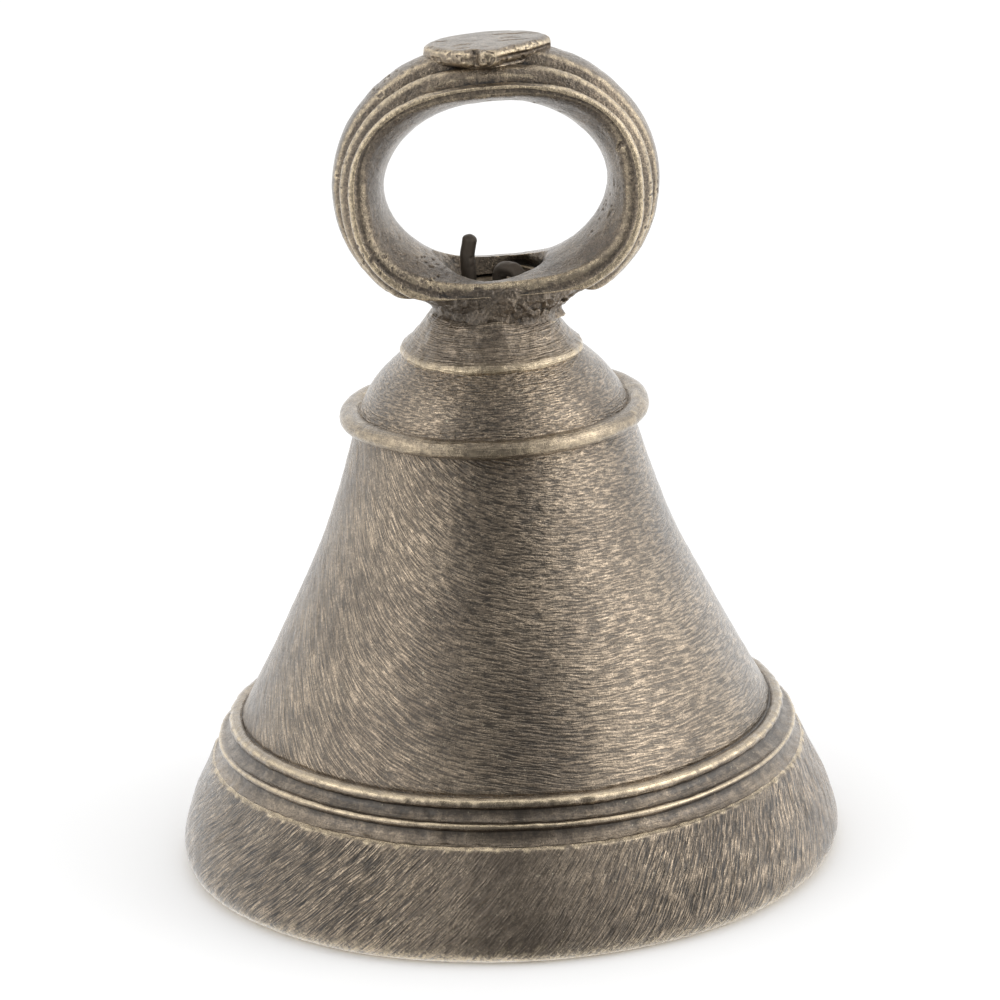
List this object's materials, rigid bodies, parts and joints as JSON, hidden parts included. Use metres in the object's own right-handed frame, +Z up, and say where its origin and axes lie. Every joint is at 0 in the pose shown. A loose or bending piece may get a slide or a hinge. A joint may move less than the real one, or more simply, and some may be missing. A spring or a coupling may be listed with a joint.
{
  "type": "tibetan bell",
  "caption": "Cast bronze hand bell with turned fillets, a shoulder bead, a ribbed ring handle with a flat table, an iron hanger wire and a loose iron clapper.",
  "frame": {"origin": "centre of the rim's foot, on the surface that the bell stands on", "axes": "+Z up the bell's axis, +X to the right across the ring, the ring opens along Y"},
  "size_m": [0.0678, 0.0678, 0.0845],
  "materials": {
    "bell_bronze": "dark patinated bronze with file marks and worn golden edges",
    "bead_bronze": "rubbed bronze wire, brighter along its crest",
    "joint_bronze": "rough pitted cast-on bronze",
    "ring_bronze": "patinated bronze with dark grooves and rubbed ribs",
    "wire_iron": "dark brown oxidised iron wire",
    "clapper_iron": "forged iron with thin brown rust"
  },
  "bodies": {
    "bell": {"bell_body": "bell_bronze", "shoulder_bead": "bead_bronze", "crown_collar": "bell_bronze", "neck_joint": "joint_bronze", "ring_handle": "ring_bronze", "seal_table": "ring_bronze"},
    "hanger": {"hanger_wire": "wire_iron"},
    "clapper": {"clapper_rod": "clapper_iron", "clapper_bob": "clapper_iron"}
  },
  "joints": [
    {"name": "hanger_turn", "type": "hinge", "parent": "bell", "child": "hanger", "pos_m": [0, 0, 0.055], "axis": [0, 0, 1], "range_deg": [-20, 60]},
    {"name": "clapper_swing", "type": "hinge", "parent": "hanger", "child": "clapper", "pos_m": [0, 0, 0.0436], "axis": [1, 0, 0], "range_deg": [-30.6, 30.6]}
  ]
}
